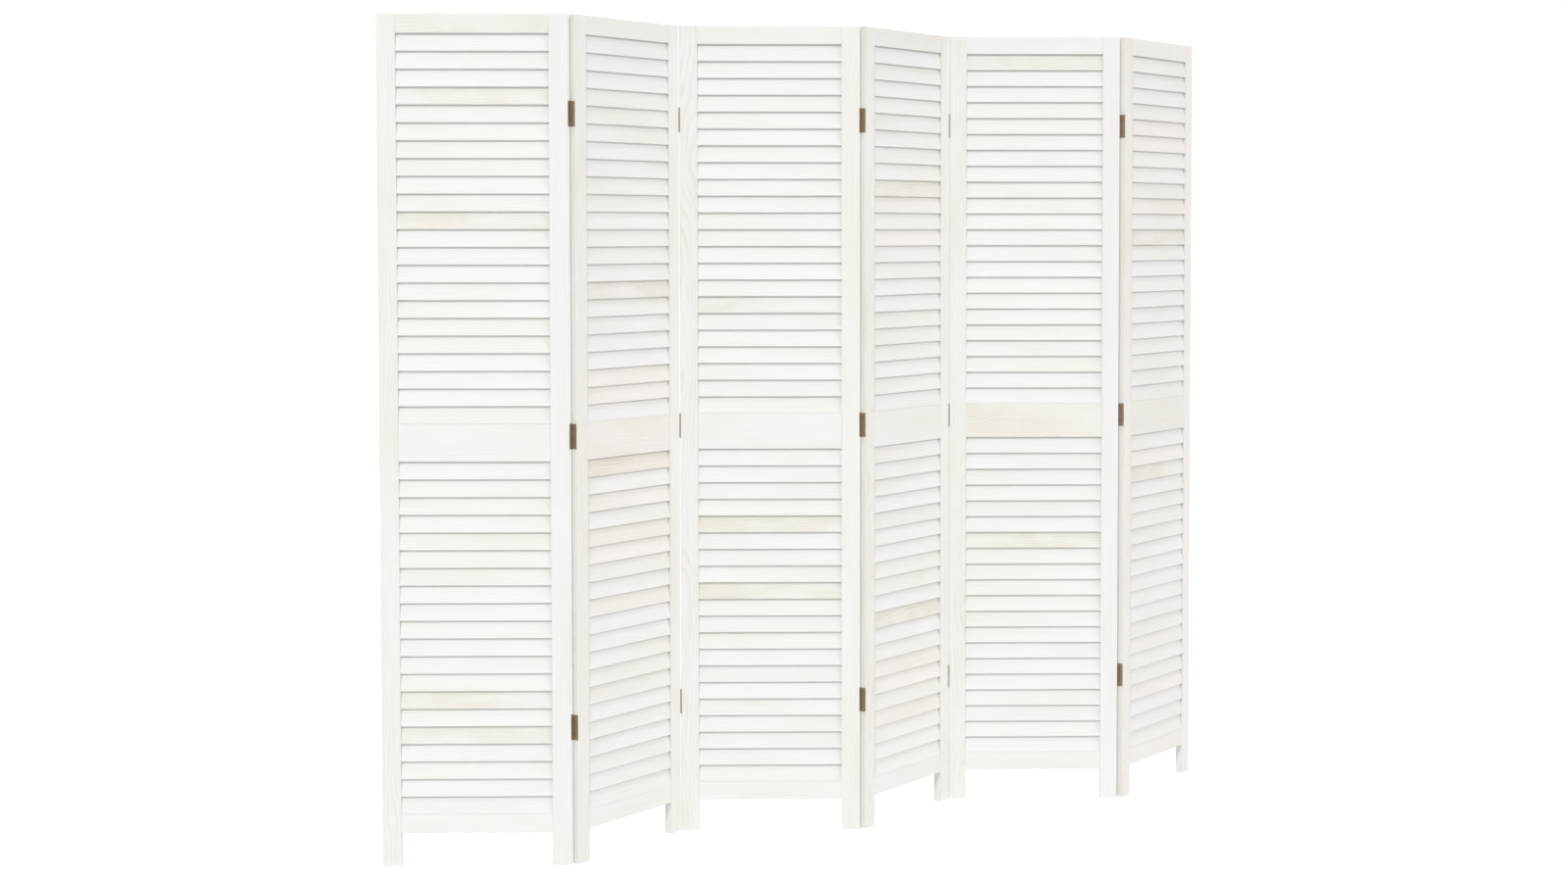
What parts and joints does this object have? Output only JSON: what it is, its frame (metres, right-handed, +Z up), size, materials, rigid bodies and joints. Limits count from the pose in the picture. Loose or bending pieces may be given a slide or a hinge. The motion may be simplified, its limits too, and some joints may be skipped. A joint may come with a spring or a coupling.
{
  "type": "folding room divider screen",
  "caption": "Free-standing folding screen of white louvred wooden panels, hinged edge to edge so that it stands in a zigzag, opens flat or folds face to face.",
  "frame": {"origin": "on the floor, under the middle of the screen's box as it stands half folded", "axes": "+X along the screen's run from the first panel to the last, -Y towards its front, +Z up"},
  "size_m": [2.1394, 0.211, 1.8],
  "materials": {
    "whitewashed_wood": "thin white wash over pale straight-grained wood, satin",
    "hinge_bronze": "aged bronze, satin",
    "screw_metal": "aged bronze, satin"
  },
  "bodies": {
    "panel_1": {"panel_1_left_stile": "whitewashed_wood", "panel_1_right_stile": "whitewashed_wood", "panel_1_top_rail": "whitewashed_wood", "panel_1_middle_rail": "whitewashed_wood", "panel_1_bottom_rail": "whitewashed_wood", "panel_1_slats": "whitewashed_wood", "panel_1_hinge_screws": "screw_metal", "hinge_1_left_leaves": "hinge_bronze", "hinge_1_pins": "hinge_bronze"},
    "panel_2": {"panel_2_left_stile": "whitewashed_wood", "panel_2_right_stile": "whitewashed_wood", "panel_2_top_rail": "whitewashed_wood", "panel_2_middle_rail": "whitewashed_wood", "panel_2_bottom_rail": "whitewashed_wood", "panel_2_slats": "whitewashed_wood", "panel_2_hinge_screws": "screw_metal", "hinge_2_left_leaves": "hinge_bronze", "hinge_2_pins": "hinge_bronze", "hinge_1_right_leaves": "hinge_bronze"},
    "panel_3": {"panel_3_left_stile": "whitewashed_wood", "panel_3_right_stile": "whitewashed_wood", "panel_3_top_rail": "whitewashed_wood", "panel_3_middle_rail": "whitewashed_wood", "panel_3_bottom_rail": "whitewashed_wood", "panel_3_slats": "whitewashed_wood", "panel_3_hinge_screws": "screw_metal", "hinge_3_left_leaves": "hinge_bronze", "hinge_3_pins": "hinge_bronze", "hinge_2_right_leaves": "hinge_bronze"},
    "panel_4": {"panel_4_left_stile": "whitewashed_wood", "panel_4_right_stile": "whitewashed_wood", "panel_4_top_rail": "whitewashed_wood", "panel_4_middle_rail": "whitewashed_wood", "panel_4_bottom_rail": "whitewashed_wood", "panel_4_slats": "whitewashed_wood", "panel_4_hinge_screws": "screw_metal", "hinge_4_left_leaves": "hinge_bronze", "hinge_4_pins": "hinge_bronze", "hinge_3_right_leaves": "hinge_bronze"},
    "panel_5": {"panel_5_left_stile": "whitewashed_wood", "panel_5_right_stile": "whitewashed_wood", "panel_5_top_rail": "whitewashed_wood", "panel_5_middle_rail": "whitewashed_wood", "panel_5_bottom_rail": "whitewashed_wood", "panel_5_slats": "whitewashed_wood", "panel_5_hinge_screws": "screw_metal", "hinge_5_left_leaves": "hinge_bronze", "hinge_5_pins": "hinge_bronze", "hinge_4_right_leaves": "hinge_bronze"},
    "panel_6": {"panel_6_left_stile": "whitewashed_wood", "panel_6_right_stile": "whitewashed_wood", "panel_6_top_rail": "whitewashed_wood", "panel_6_middle_rail": "whitewashed_wood", "panel_6_bottom_rail": "whitewashed_wood", "panel_6_slats": "whitewashed_wood", "panel_6_hinge_screws": "screw_metal", "hinge_5_right_leaves": "hinge_bronze"}
  },
  "joints": [
    {"name": "fold_2", "type": "hinge", "parent": "panel_3", "child": "panel_2", "pos_m": [-0.3569, 0.0918, 0.912], "axis": [0, 0, 1], "range_deg": [-59.3, 120.7]},
    {"name": "fold_1", "type": "hinge", "parent": "panel_2", "child": "panel_1", "pos_m": [-0.71381, -0.0918, 0.912], "axis": [0, 0, -1], "range_deg": [-59.3, 120.7]},
    {"name": "fold_3", "type": "hinge", "parent": "panel_3", "child": "panel_4", "pos_m": [0, -0.0918, 0.912], "axis": [0, 0, 1], "range_deg": [-59.3, 120.7]},
    {"name": "fold_4", "type": "hinge", "parent": "panel_4", "child": "panel_5", "pos_m": [0.3569, 0.0918, 0.912], "axis": [0, 0, -1], "range_deg": [-59.3, 120.7]},
    {"name": "fold_5", "type": "hinge", "parent": "panel_5", "child": "panel_6", "pos_m": [0.71381, -0.0918, 0.912], "axis": [0, 0, 1], "range_deg": [-59.3, 120.7]}
  ]
}
